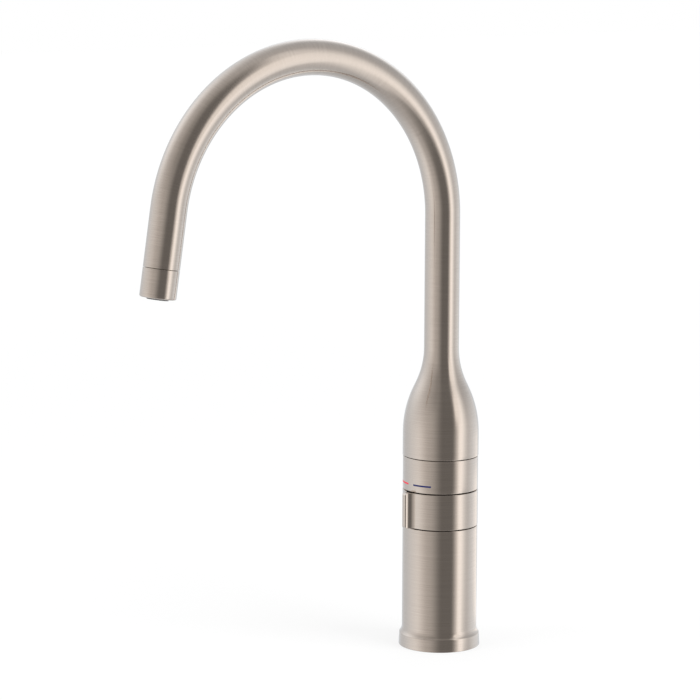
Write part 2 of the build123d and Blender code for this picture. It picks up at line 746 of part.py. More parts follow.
# Spout: a turned bottle shoulder, and a bent tube that is welded to its neck and polished smooth
neck_top = shoulder_top + s_curve_radii * math.sin(flank) + flank_length * math.cos(flank)
with BuildPart() as spout_shoulder:
    with BuildSketch(Plane.XZ):
        bottle_face(0)
    revolve(axis=Axis.Z)
    with BuildSketch(Plane.XZ):
        bottle_face(spout_wall)
    revolve(axis=Axis.Z, mode=Mode.SUBTRACT)
    with BuildSketch(round_the_back(screw_axis_height, 0)):
        Circle(screw_r + slip_gap)
    extrude(amount=shoulder_r + cut_over, mode=Mode.SUBTRACT)
    foot_circles = spout_shoulder.edges().filter_by(GeomType.CIRCLE).group_by(Axis.Z)[0]
    chamfer(foot_circles.sort_by(SortBy.RADIUS)[-1], edge_break)
save(spout_shoulder.part, "spout_shoulder")

with BuildPart() as gooseneck:
    with BuildLine(Plane.YZ) as tube_path:
        riser_run = Line((0, neck_top), (0, arch_spring_height))
        arch = JernArc(riser_run @ 1, riser_run % 1, arch_r, arch_turn)
        Line(arch @ 1, arch @ 1 + (arch % 1) * outlet_run)
    with BuildSketch(plan(neck_top)):
        Circle(tube_r)
        Circle(tube_bore_r, mode=Mode.SUBTRACT)
    sweep(path=tube_path.wire())
save(gooseneck.part, "gooseneck")

# Grub screw: its point runs in the post's groove, its socket end lies just under the skin
screw_out_r = shoulder_r - screw_below_skin
screw_tip_end_r = groove_floor_r + side_gap
with BuildPart() as spout_screw:
    with BuildSketch(round_the_back(screw_axis_height, screw_tip_end_r)):
        Circle(screw_tip_r)
    extrude(amount=bush_bore_r + side_gap - screw_tip_end_r)
    with BuildSketch(round_the_back(screw_axis_height, bush_bore_r + side_gap)):
        Circle(screw_r)
    extrude(amount=screw_out_r - bush_bore_r - side_gap)
    with BuildSketch(round_the_back(screw_axis_height, screw_out_r)):
        RegularPolygon(screw_socket_across / 2, side_count=6, major_radius=False)
    extrude(amount=-screw_socket_across, mode=Mode.SUBTRACT)
save(spout_screw.part, "spout_screw")

# Threaded sleeve soldered into the tube's end, which carries the collar
with BuildPart() as outlet_nipple:
    with BuildSketch(outlet_section):
        ring_section(nipple_bore_r, nipple_r, nipple_start, nipple_end)
    revolve(axis=outlet_axis)
save(outlet_nipple.part, "outlet_nipple")

# Collar, flush with the tube, with a lip that holds the aerator
with BuildPart() as aerator_collar:
    with BuildSketch(outlet_section) as collar_profile:
        ring_section(tube_bore_r, tube_r, collar_start, collar_end)
        ring_section(collar_lip_r, tube_r, collar_lip_start, collar_end)
        end_corner = collar_profile.vertices().group_by(Axis((0, 0, 0), flow))[-1].sort_by(Axis.X)[-1]
        fillet(end_corner, collar_end_round)
    revolve(axis=outlet_axis)
save(aerator_collar.part, "aerator_collar")

with BuildPart() as aerator_seal:
    with BuildSketch(outlet_section):
        ring_section(nipple_bore_r, nipple_r, nipple_end, cartridge_start)
    revolve(axis=outlet_axis)
save(aerator_seal.part, "aerator_seal")

# Aerator: cup held by the collar's lip, with a nozzle that stands out of the mouth
cup_floor = collar_lip_start - face_gap
nozzle_bore_r = nozzle_r - nozzle_wall
with BuildPart() as aerator_cartridge:
    with BuildSketch(outlet_section):
        ring_section(nozzle_bore_r, nipple_r, cartridge_start, cup_floor)
        ring_section(nozzle_bore_r, collar_lip_r - slip_gap, cup_floor, collar_end - side_gap)
        ring_section(nozzle_bore_r, nozzle_r, collar_end - side_gap, nozzle_end)
        ring_section(nozzle_bore_r, nipple_bore_r, cartridge_start, cartridge_start + screen_thick,
                     mode=Mode.SUBTRACT)
    revolve(axis=outlet_axis)
save(aerator_cartridge.part, "aerator_cartridge")

# Strainer gauze in the top of the cup, a plain disc at this scale
with BuildPart() as aerator_screen:
    with BuildSketch(along_outlet(cartridge_start)):
        Circle(nipple_bore_r - slip_gap)
    extrude(amount=screen_thick)
save(aerator_screen.part, "aerator_screen")

# Honeycomb that straightens the stream, a little inside the nozzle's end: a cell and two rings of six
comb_pitch = comb_across + comb_web
comb_rings = ((0, 1, 0), (comb_pitch, 6, 30), (comb_pitch * math.sqrt(3), 6, 0))
with BuildPart() as flow_straightener:
    with BuildSketch(along_outlet(nozzle_end - comb_depth - side_gap)):
        Circle(nozzle_bore_r - slip_gap)
        for radius, cells, first_angle in comb_rings:
            with PolarLocations(radius, cells, start_angle=first_angle, rotate=False):
                RegularPolygon(comb_across / 2, side_count=6, major_radius=False, mode=Mode.SUBTRACT)
    extrude(amount=comb_depth)
save(flow_straightener.part, "flow_straightener")
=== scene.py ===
import json
import math

import bmesh
import bpy
from mathutils import Matrix, Vector

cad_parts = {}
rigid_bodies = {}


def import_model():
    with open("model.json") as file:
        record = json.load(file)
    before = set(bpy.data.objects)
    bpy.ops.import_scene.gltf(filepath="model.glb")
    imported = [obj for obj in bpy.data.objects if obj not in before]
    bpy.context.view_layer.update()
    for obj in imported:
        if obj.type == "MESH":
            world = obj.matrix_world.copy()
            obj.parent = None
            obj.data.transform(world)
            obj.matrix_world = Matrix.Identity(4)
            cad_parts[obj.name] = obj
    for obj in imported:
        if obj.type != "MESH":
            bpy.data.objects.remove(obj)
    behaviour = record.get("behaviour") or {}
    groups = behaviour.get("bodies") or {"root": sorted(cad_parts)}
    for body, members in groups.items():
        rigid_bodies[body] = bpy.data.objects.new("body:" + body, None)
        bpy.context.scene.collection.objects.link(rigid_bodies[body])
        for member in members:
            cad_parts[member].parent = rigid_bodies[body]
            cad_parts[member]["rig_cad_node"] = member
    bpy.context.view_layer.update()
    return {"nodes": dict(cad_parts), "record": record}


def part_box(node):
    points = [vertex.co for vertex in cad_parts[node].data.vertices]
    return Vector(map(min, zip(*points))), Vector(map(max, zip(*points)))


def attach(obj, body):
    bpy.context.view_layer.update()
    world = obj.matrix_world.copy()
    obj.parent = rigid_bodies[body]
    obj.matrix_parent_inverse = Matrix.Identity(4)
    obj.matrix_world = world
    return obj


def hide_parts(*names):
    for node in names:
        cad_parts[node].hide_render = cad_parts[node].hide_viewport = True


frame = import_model()

# Millimetres here, metres in the meshes
MM = 0.001
SEGMENTS = 160          # round the axis
BEND_STEP = 2.0         # degrees of a bend from one ring to the next
EDGE_ROUND = 0.35       # worn turned edges
SHARP_ANGLE = math.radians(28)

# The photograph's view, in millimetres and degrees, from a fit to the tap's outline. The last line is the
# same view's direction, rounded.
camera_place = (1526.859, -1169.326, 502.640)
camera_target = (-21.83, -58.14, 199.82)
camera_roll = 0.221
camera_lens, camera_sensor = 152.62, 36
camera_azimuth, camera_rise = -37.4, 9.0

# The studio as the metal sees it. Each panel is laid over those before it. Degrees to the camera's
# right and degrees up are given as (start, end, softness of the start, softness of the end), then the level.
# The room's level and these seven panels are rounded from a least-squares fit to the photograph's brightness.
studio_level = 0.59
left_box = (-120, -53, 110, 44), (-54, 7, 50, 56), 1.07
rear_left_box = (-158, -91, 110, 70), (9, 61, 46, 65), 1.32
rear_wall = (94, 207, 74, 100), (-40, 8, 78, 46), 1.06
rear_box = (158, 185, 66, 40), (15, 43, 22, 40), 2.1
high_shade = (-43, -11, 44, 28), (20, 65, 30, 76), 0.37
front_flag = (-14, 56, 44, 6), (-48, 64, 58, 44), 0.19
right_strip = (55, 75, 40, 42), (-50, 48, 65, 80), 1.8
fitted_panels = (left_box, rear_left_box, rear_wall, rear_box, high_shade, front_flag, right_strip)

# These six were set by comparing renders with the photograph
strip_low_core = (47, 66, 10, 16), (4, 30, 12, 14), 1.25
strip_high_core = (58, 73, 14, 14), (34, 64, 14, 16), 1.1
strip_foot = (45, 62, 12, 16), (-66, -28, 20, 14), 1.0
right_shade = (74, 104, 10, 20), (-64, -20, 20, 16), 0.68
rear_right_box = (116, 142, 20, 12), (-62, -22, 20, 16), 1.05
rear_shade = (150, 200, 16, 30), (-24, 8, 14, 14), 0.82
compared_panels = (strip_low_core, strip_high_core, strip_foot, right_shade, rear_right_box, rear_shade)

# The studio's tint goes from front to back between these cosines of the angle to the camera
studio_front_tint, studio_back_tint = (1.02, 1.0, 0.98), (0.94, 1.0, 1.065)
tint_front_cosine, tint_back_cosine = 0.7, -0.5
studio_radius, studio_height = 3.0, 0.2

# A pale card on the floor behind the tap, seen only by the metal: a window in degrees to the camera's
# right, a window in metres from the tap, and the level
card_sides, card_reach, card_level = (124, 152, 36, 26), (0.07, 0.8, 0.12, 0.6), 1.32
card_size, card_lift = 2.4, 0.0005

# The floor, in metres. Its white has a near level at the tap and a far one at floor_white_reach.
floor_size, floor_white_share = 12, 0.75
floor_white_reach, floor_white_near, floor_white_far = 2.5, 1.03, 1.14

# What the world gives to light the object, and what the camera, gloss and glass see of it
world_level, world_seen_level = 0.7, 1.0

# Lamps: degrees to the camera's right, degrees up and watts, then metres
key_lamp, fill_lamp = (60, 40, 25), (-60, 30, 12)
lamp_distance, lamp_size, lamp_aim_height = 2.0, 1.2, 0.2

# The same driving sizes as the solids, but for the foot's band, the fin's root and the marks
body_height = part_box("body_shell")[1].z / MM
ring_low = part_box("control_ring")[0].z / MM
ring_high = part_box("control_ring")[1].z / MM
index_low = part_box("index_ring")[0].z / MM
index_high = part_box("index_ring")[1].z / MM
spout_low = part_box("spout_shoulder")[0].z / MM
neck_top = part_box("spout_shoulder")[1].z / MM

casing_r, casing_bore_r, casing_recess_depth = 24.77, 22.0, 1.2
foot_base_r, foot_band_r, foot_band_height = 26.85, 26.5, 8.0
foot_edge_round, foot_flare_r, foot_base_round = 1.0, 6.7, 0.4
ring_r, ring_bore_r, recess_r, recess_depth = 24.9, 18.06, 21.8, 1.1
fin_reach, fin_half_thick, fin_root_r, fin_edge_r, fin_corner_r = 5.3, 1.85, 5.2, 0.9, 2.0
index_r, index_bore_r, index_web = 24.8, 22.6, 4.2
mark_height, mark_depth, mark_above_edge = 1.1, 0.3, 4.75
mark_centre_angle, mark_gap_angle, mark_angle, mark_skin = 1.2, 11.6, 31.4, 0.03
mark_steps, mark_edge_share = 24, 0.2
shoulder_r, shoulder_side, shoulder_round, neck_round, flank_angle = 25.0, 15.0, 70.0, 54.0, 25.5
tube_r, tube_wall, arch_spring_height, arch_r, arch_turn = 11.45, 1.5, 286.7, 105.7, 171.14
outlet_run, collar_gap, collar_length, collar_end_round = 36.1, 0.35, 18.2, 1.1
collar_lip_length, collar_lip_r = 3.2, 8.9
screw_height, screw_hole_r, screw_cut_inside, screw_cut_length = 5.5, 2.55, 4, 6
near_axis_r = 0.001     # keeps the cutter's outline off the axis


class Trace:
    """A line drawn with straight runs and tangent bends, as (across, up) points."""

    def __init__(self, across, up, heading):
        self.points = [Vector((across, up))]
        self.headings = [math.radians(heading)]

    def add(self, point, heading):
        self.points.append(point)
        self.headings.append(heading)

    def run(self, length, pieces=1):
        start, heading = self.points[-1], self.headings[-1]
        for i in range(1, pieces + 1):
            step = Vector((math.cos(heading), math.sin(heading))) * length * i / pieces
            self.add(start + step, heading)
        return self

    def bend(self, radius, degrees, step=BEND_STEP):
        """Turns to the left where degrees is positive."""
        start, heading = self.points[-1], self.headings[-1]
        reach = math.copysign(radius, degrees)
        centre = start + Vector((-math.sin(heading), math.cos(heading))) * reach
        count = max(2, math.ceil(abs(degrees) / step))
        for i in range(1, count + 1):
            turned = heading + math.radians(degrees) * i / count
            self.add(centre - Vector((-math.sin(turned), math.cos(turned))) * reach, turned)
        return self


def rounded(corners, steps=4):
    """Closed outline from (across, up, rounding) corners."""
    points = []
    for i, (x, y, radius) in enumerate(corners):
        corner = Vector((x, y))
        if not radius:
            points.append(corner)
            continue
        before = (Vector(corners[i - 1][:2]) - corner).normalized()
        after = (Vector(corners[(i + 1) % len(corners)][:2]) - corner).normalized()
        half = before.angle(after) / 2
        centre = corner + (before + after).normalized() * radius / math.sin(half)
        start = corner + before * radius / math.tan(half) - centre
        end = corner + after * radius / math.tan(half) - centre
        sweep = start.angle_signed(end)
        for k in range(steps + 1):
            points.append(centre + Matrix.Rotation(-sweep * k / steps, 2) @ start)
    return points


def skin(name, rings, around):
    """Quad mesh over a closed run of rings. around gives (cosine, sine) of each place on a ring."""
    rows, columns = len(rings), len(around)
    vertices = [p * MM for ring in rings for p in ring]
    faces = []
    for i in range(rows):
        for j in range(columns):
            low, high = i * columns, (i + 1) % rows * columns
            k = (j + 1) % columns
            faces.append((low + j, low + k, high + k, high + j))
    mesh = bpy.data.meshes.new(name)
    mesh.from_pydata(vertices, [], faces)
    along = [0.0]
    for i in range(1, rows + 1):
        here, there = rings[i - 1], rings[i % rows]
        along.append(along[-1] + max((there[j] - here[j]).length for j in range(0, columns, 8)))
    brush = mesh.attributes.new("brush", "FLOAT_VECTOR", "CORNER")
    uv = mesh.uv_layers.new(name="along_and_around")
    for polygon in mesh.polygons:
        i, j = divmod(polygon.index, columns)
        for corner, (di, dj) in zip(polygon.loop_indices, ((0, 0), (0, 1), (1, 1), (1, 0))):
            turn = around[(j + dj) % columns]
            brush.data[corner].vector = (turn[0], turn[1], along[i + di])
            uv.data[corner].uv = (along[i + di] * MM, (j + dj) / columns)
    return finish_mesh(name, mesh)


def finish_mesh(name, mesh):
    mesh.shade_smooth()
    mesh.set_sharp_from_angle(angle=SHARP_ANGLE)
    mesh.update()
    piece = bpy.data.objects.new(name, mesh)
    bpy.context.scene.collection.objects.link(piece)
    return piece


def circle(count=SEGMENTS):
    turns = [2 * math.pi * j / count for j in range(count)]
    return [(math.cos(t), math.sin(t)) for t in turns]


def lathe(name, outline, place=Matrix.Identity(4), around=None):
    """Turns a closed (radius, height) outline round Z, then puts it in place."""
    around = around or circle()
    rings = [[place @ Vector((c * p.x, s * p.x, p.y)) for c, s in around] for p in outline]
    return skin(name, rings, around)


def body_shell():
    """Sleeve with the flared foot. The outline runs up the outside and down the inside."""
    flare = math.degrees(math.acos(1 - (foot_band_r - casing_r) / (foot_flare_r + foot_edge_round)))
    lean = math.degrees(math.atan2(foot_base_r - foot_band_r, foot_band_height))
    trace = Trace(foot_base_r - foot_base_round, 0, 0)
    trace.bend(foot_base_round, 90 + lean, 18)
    trace.run((foot_band_height - foot_base_round) / math.cos(math.radians(lean)))
    trace.bend(foot_edge_round, flare - lean, 4)
    trace.bend(foot_flare_r, -flare, 3)
    top = rounded([
        (casing_r, body_height, EDGE_ROUND),
        (recess_r, body_height, 0),
        (recess_r, body_height - casing_recess_depth, 0),
        (casing_bore_r, body_height - casing_recess_depth, 0),
        (casing_bore_r, 0, 0),
    ])
    piece = lathe("body_shell_turned", trace.points + top)
    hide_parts("body_shell")
    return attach(piece, "base")


def fin_outline(inset, limit):
    """Plan of the control ring with its fin, a distance inside the true edge and cut off at a limit."""
    radius, half, tip = ring_r - inset, fin_half_thick - inset, ring_r + fin_reach - inset
    root, corner = fin_root_r + inset, fin_edge_r - inset
    root_x = half + root
    root_y = -math.sqrt((radius + root) ** 2 - root_x ** 2)
    root_angle = math.atan2(root_y, root_x)

    def arc(x, y, r, start, end, count):
        turns = [start + (end - start) * k / count for k in range(count + 1)]
        return [Vector((x + r * math.cos(t), y + r * math.sin(t))) for t in turns]

    side = arc(0, 0, radius, math.pi / 2, root_angle, 72)
    side += arc(root_x, root_y, root, root_angle + math.pi, math.pi, 10)[1:]
    side += arc(half - corner, -(tip - corner), corner, 0, -math.pi / 2, 6)
    side = [Vector((p.x, max(p.y, -limit))) for p in side]
    mirrored = [Vector((-p.x, p.y)) for p in side[1:]]
    return mirrored + side[::-1]


def control_ring():
    """Ring with the fin, skinned through its plan at many heights."""
    def level(depth):
        """Inset of the rounded edge and reach of the fin, at a depth under the ring's edge."""
        inset = 0
        if depth < EDGE_ROUND:
            inset = EDGE_ROUND - math.sqrt(EDGE_ROUND ** 2 - (EDGE_ROUND - depth) ** 2)
        cut = 0
        if depth < fin_corner_r:
            cut = fin_corner_r - math.sqrt(fin_corner_r ** 2 - (fin_corner_r - depth) ** 2)
        return inset, ring_r + fin_reach - max(cut, inset)

    # Through the rounded edge, then on through the fin's corner
    depths = [EDGE_ROUND * (1 - math.cos(math.radians(a))) for a in (0, 22, 45, 67, 90)]
    depths += [0.6, 0.9, 1.3, 1.7, fin_corner_r]
    levels = [(ring_low + d, d) for d in depths]
    levels += [(ring_high - d, d) for d in reversed(depths)]
    plans = [(z, fin_outline(*level(d))) for z, d in levels]
    rings = [[Vector((p.x, p.y, z)) for p in plan] for z, plan in plans]
    around = [tuple(p.normalized()) for p in plans[len(plans) // 2][1]]
    inner = (
        (recess_r, ring_high),
        (recess_r, ring_high - recess_depth),
        (ring_bore_r, ring_high - recess_depth),
        (ring_bore_r, ring_low),
    )
    rings += [[Vector((c * r, s * r, z)) for c, s in around] for r, z in inner]
    piece = skin("control_ring_turned", rings, around)
    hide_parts("control_ring")
    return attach(piece, "temperature_ring")


def mark_spans():
    """(start, end) in degrees from +X of the hot and the cold mark."""
    middle = mark_centre_angle - 90
    near, far = mark_gap_angle / 2, mark_gap_angle / 2 + mark_angle
    return (middle - far, middle - near), (middle + near, middle + far)


def mark_heights():
    low = index_low + mark_above_edge - mark_height / 2
    return low, low + mark_height


def sink(piece, depth, wanted):
    """Sinks the faces whose middle is wanted towards Z, with walls round them."""
    shape = bmesh.new()
    shape.from_mesh(piece.data)
    faces = [f for f in shape.faces if wanted(f.calc_center_median() / MM)]
    made = bmesh.ops.extrude_face_region(shape, geom=faces)["geom"]
    for vertex in made:
        if isinstance(vertex, bmesh.types.BMVert):
            vertex.co -= Vector((vertex.co.x, vertex.co.y, 0)).normalized() * depth * MM
    bmesh.ops.delete(shape, geom=faces, context="FACES")
    shape.to_mesh(piece.data)
    shape.free()
    piece.data.set_sharp_from_angle(angle=SHARP_ANGLE)


def index_ring():
    """Ring with a groove for each mark."""
    spans = mark_spans()
    grid = {360 * j / SEGMENTS - 270 for j in range(SEGMENTS)}
    turns = [math.radians(a) for a in sorted(grid | {a for span in spans for a in span})]
    around = [(math.cos(t), math.sin(t)) for t in turns]
    groove_low, groove_high = mark_heights()
    outline = rounded([
        (index_r, index_low, EDGE_ROUND),
        (index_r, groove_low, 0),
        (index_r, groove_high, 0),
        (index_r, index_high, EDGE_ROUND),
        (index_bore_r, index_high, 0),
        (index_bore_r, index_low + index_web, 0),
        (ring_bore_r, index_low + index_web, 0),
        (ring_bore_r, index_low, 0),
    ])
    piece = lathe("index_ring_turned", outline, around=around)

    def in_groove(middle):
        angle = math.degrees(math.atan2(middle.y, middle.x))
        high_enough = groove_low < middle.z < groove_high and middle.xy.length > index_bore_r + 1
        return high_enough and any(start < angle < end for start, end in spans)

    sink(piece, mark_depth, in_groove)
    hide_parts("index_ring")
    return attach(piece, "base")


def enamel_mark(name, node, span):
    """Enamel run into its groove, a little lower at its edges than the metal."""
    low, high = mark_heights()
    skin_r = index_r - mark_skin
    floor_r = index_r - mark_depth
    edge = mark_height * mark_edge_share
    section = [(floor_r, low), (skin_r - mark_skin, low), (skin_r, low + edge)]
    section += [(skin_r, high - edge), (skin_r - mark_skin, high), (floor_r, high)]
    vertices, faces, size = [], [], len(section)
    for i in range(mark_steps + 1):
        t = math.radians(span[0] + (span[1] - span[0]) * i / mark_steps)
        vertices += [Vector((r * math.cos(t), r * math.sin(t), z)) * MM for r, z in section]
    for i in range(mark_steps):
        for j in range(size):
            k = (j + 1) % size
            faces.append((i * size + j, (i + 1) * size + j, (i + 1) * size + k, i * size + k))
    faces.append(tuple(range(size)))
    faces.append(tuple(reversed(range(mark_steps * size, (mark_steps + 1) * size))))
    mesh = bpy.data.meshes.new(name)
    mesh.from_pydata(vertices, [], faces)
    piece = finish_mesh(name, mesh)
    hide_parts(node)
    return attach(piece, "base")


def spout_rings(inset, around, step):
    """Rings from the spout's foot to its outlet, a distance inside the skin."""
    flank = math.radians(flank_angle)
    gain = shoulder_r - tube_r - (shoulder_round + neck_round) * (1 - math.cos(flank))
    edge = EDGE_ROUND if inset == 0 else 0
    bottle = Trace(shoulder_r - inset - edge, spout_low, 0 if edge else 90)
    if edge:
        bottle.bend(edge, 90, 22)
    bottle.run(shoulder_side - edge, 6)
    bottle.bend(shoulder_round - inset, flank_angle, step)
    bottle.run(gain / math.sin(flank))
    bottle.bend(neck_round + inset, -flank_angle, step)
    rings = [[Vector((c * p.x, s * p.x, p.y)) for c, s in around] for p in bottle.points]
    tube = tube_trace(step)
    for point, heading in list(zip(tube.points, tube.headings))[1:]:
        place = across_tube(point, heading)
        rings.append([place @ Vector((c * (tube_r - inset), s * (tube_r - inset), 0)) for c, s in around])
    return rings


def tube_trace(step=BEND_STEP):
    """Middle line of the tube, in (forward, up)."""
    trace = Trace(0, neck_top, 90)
    trace.run(arch_spring_height - neck_top)
    trace.bend(arch_r, -arch_turn, step)
    return trace.run(outlet_run)


def across_tube(point, heading, beyond=0):
    """Frame whose Z runs along the flow, at a point of the tube's middle line or a distance beyond it."""
    flow = Vector((0, -math.cos(heading), math.sin(heading)))
    back = Vector((0, math.sin(heading), math.cos(heading)))
    middle = Vector((0, -point.x, point.y)) + flow * beyond
    return Matrix.Translation(middle) @ Matrix((Vector((1, 0, 0)), back, flow)).transposed().to_4x4()


def spout():
    """Bottle shoulder and gooseneck in one skin, with the wall's inner side and the screw's hole."""
    around = circle()
    outer = spout_rings(0, around, BEND_STEP)
    inner = spout_rings(tube_wall, around, 3 * BEND_STEP)
    piece = skin("spout_polished", outer + inner[::-1], around)
    turn = Matrix.Rotation(math.radians(-90), 4, "X")
    corners = (
        (near_axis_r, 0),
        (screw_hole_r, 0),
        (screw_hole_r, screw_cut_length),
        (near_axis_r, screw_cut_length),
    )
    outline = [Vector(corner) for corner in corners]
    place = Matrix.Translation((0, shoulder_r - screw_cut_inside, spout_low + screw_height)) @ turn
    cutter = lathe("cutter", outline, place, circle(48))
    cut = piece.modifiers.new("screw_hole", "BOOLEAN")
    cut.operation, cut.solver, cut.object = "DIFFERENCE", "EXACT", cutter
    graph = bpy.context.evaluated_depsgraph_get()
    piece.data = bpy.data.meshes.new_from_object(piece.evaluated_get(graph))
    piece.modifiers.clear()
    piece.data.set_sharp_from_angle(angle=SHARP_ANGLE)
    bpy.data.objects.remove(cutter)
    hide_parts("spout_shoulder", "gooseneck")
    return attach(piece, "swivel_spout")


def aerator_collar():
    tube = tube_trace()
    place = across_tube(tube.points[-1], tube.headings[-1], collar_gap)
    bore = tube_r - tube_wall
    outline = rounded([
        (bore, 0, 0),
        (tube_r, 0, 0.15),
        (tube_r, collar_length, collar_end_round),
        (collar_lip_r, collar_length, 0.2),
        (collar_lip_r, collar_length - collar_lip_length, 0),
        (bore, collar_length - collar_lip_length, 0),
    ], steps=6)
    piece = lathe("aerator_collar_turned", outline, place)
    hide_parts("aerator_collar")
    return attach(piece, "swivel_spout")


class Recipe:
    """A material's nodes, with short calls to add and join them."""

    def __init__(self, name):
        self.material = bpy.data.materials.new(name)
        self.material.use_nodes = True
        self.tree = self.material.node_tree
        self.shader = self.tree.nodes["Principled BSDF"]

    def add(self, kind, inputs=None, **settings):
        node = self.tree.nodes.new("ShaderNode" + kind)
        for key, value in settings.items():
            setattr(node, key, value)
        for key, value in (inputs or {}).items():
            self.put(value, node.inputs[key])
        return node

    def put(self, value, socket):
        if isinstance(value, bpy.types.NodeSocket):
            self.tree.links.new(value, socket)
        else:
            socket.default_value = value

    def set(self, **values):
        for key, value in values.items():
            self.put(value, self.shader.inputs[key.replace("_", " ")])

    def spread(self, vector, scales):
        return self.add("VectorMath", {0: vector, 1: scales}, operation="MULTIPLY").outputs[0]

    def noise(self, vector, scale=1.0, detail=3.0):
        return self.add("TexNoise", {"Vector": vector, "Scale": scale, "Detail": detail}).outputs["Fac"]

    def math(self, operation, *values):
        return self.add("Math", dict(enumerate(values)), operation=operation).outputs[0]

    def ramp(self, value, start, end, low=0.0, high=1.0):
        """Goes smoothly from low at start to high at end."""
        node = self.add("MapRange", {0: value, 1: start, 2: end, 3: low, 4: high})
        node.interpolation_type = "SMOOTHSTEP"
        return node.outputs[0]

    def window(self, value, start, end, soft_start, soft_end):
        """1 between start and end, 0 outside, with soft edges centred on both."""
        rise = self.ramp(value, start - soft_start / 2, start + soft_start / 2)
        fall = self.ramp(value, end - soft_end / 2, end + soft_end / 2, 1.0, 0.0)
        return self.math("MULTIPLY", rise, fall)

    def between(self, value, low, high):
        """A grey value taken from the middle of a noise's range to low and high."""
        return self.add("MapRange", {0: value, 1: 0.3, 2: 0.7, 3: low, 4: high}).outputs[0]

    def blend(self, value, first, second):
        return self.add("Mix", {0: value, 6: (*first, 1), 7: (*second, 1)}, data_type="RGBA").outputs[2]


def brushed_nickel():
    """Fine turned brushing: scratches run round the piece, so gloss is drawn out along it."""
    r = Recipe("brushed_nickel")
    brush = r.add("Attribute", attribute_name="brush").outputs["Vector"]
    scratches = r.noise(r.spread(brush, (2.0, 2.0, 6.0)), detail=3.0)
    lines = r.noise(r.spread(brush, (0.9, 0.9, 2.8)), detail=1.5)
    tone = r.between(lines, 0.0, 1.0)
    r.set(Base_Color=r.blend(tone, (0.59, 0.513, 0.451), (0.65, 0.567, 0.499)))
    r.set(Roughness=r.between(scratches, 0.155, 0.175), Metallic=1.0, Anisotropic=0.9)
    r.set(Tangent=r.add("Tangent", direction_type="UV_MAP", uv_map="along_and_around").outputs[0])
    bump = r.add("Bump", {"Height": scratches, "Strength": 0.1, "Distance": 0.02 * MM})
    r.set(Normal=bump.outputs[0])
    return r.material


def turned_metal(name, dark, pale, roughness):
    """Plain machined or cast metal of the inner pieces, with painted shade that darkens it where it sits in a
    crevice.
    """
    # Near-black colour of the painted shade in crevices and narrow gaps
    crevice_shade = (0.05, 0.048, 0.045, 1)
    r = Recipe(name)
    place = r.add("TexCoord").outputs["Object"]
    grain = r.noise(place, 900.0, 5.0)
    unshaded = r.blend(r.between(grain, 0.0, 1.0), dark, pale)
    # Painted shade: ambient occlusion blends the base colour towards near black in crevices and narrow gaps
    open_air = r.add("AmbientOcclusion", {"Distance": 3 * MM}, samples=8).outputs["AO"]
    share = r.ramp(open_air, 0.1, 0.5)
    r.set(Base_Color=r.add("Mix", {0: share, 6: crevice_shade, 7: unshaded}, data_type="RGBA").outputs[2])
    r.set(Roughness=r.between(grain, roughness - 0.06, roughness + 0.06), Metallic=1.0)
    r.set(Normal=r.add("Bump", {"Height": grain, "Strength": 0.2, "Distance": 0.05 * MM}).outputs[0])
    return r.material


def moulded(name, dark, pale, roughness, shine=0.5):
    """Plastic, rubber, ceramic or enamel with a faint mottle and a fine skin."""
    r = Recipe(name)
    place = r.add("TexCoord").outputs["Object"]
    mottle = r.noise(place, 300.0, 2.0)
    skin_grain = r.noise(place, 4000.0, 2.0)
    r.set(Base_Color=r.blend(r.between(mottle, 0.0, 1.0), dark, pale))
    r.set(Roughness=r.between(skin_grain, roughness - 0.05, roughness + 0.05), Specular_IOR_Level=shine)
    r.set(Normal=r.add("Bump", {"Height": skin_grain, "Strength": 0.15, "Distance": 0.02 * MM}).outputs[0])
    return r.material


def finishes():
    return {
        "brushed_nickel": brushed_nickel(),
        "red_enamel": moulded("red_enamel", (0.90, 0.012, 0.05), (0.97, 0.02, 0.07), 0.35, 0.3),
        "blue_enamel": moulded("blue_enamel", (0.008, 0.014, 0.10), (0.013, 0.021, 0.14), 0.35, 0.3),
        "grey_plastic": moulded("grey_plastic", (0.13, 0.127, 0.123), (0.16, 0.156, 0.152), 0.45),
        "white_plastic": moulded("white_plastic", (0.78, 0.77, 0.72), (0.84, 0.83, 0.79), 0.4),
        "black_plastic": moulded("black_plastic", (0.03, 0.03, 0.03), (0.045, 0.045, 0.045), 0.5),
        "rubber": moulded("rubber", (0.022, 0.022, 0.022), (0.035, 0.035, 0.035), 0.7),
        "disc_ceramic": moulded("disc_ceramic", (0.86, 0.85, 0.81), (0.92, 0.91, 0.88), 0.2),
        "cast_brass": turned_metal("cast_brass", (0.66, 0.49, 0.25), (0.76, 0.60, 0.34), 0.35),
        "stainless_steel": turned_metal("stainless_steel", (0.56, 0.56, 0.56), (0.66, 0.66, 0.65), 0.3),
    }


def dress(piece, slot, materials):
    piece.data.materials.clear()
    piece.data.materials.append(materials[slot])


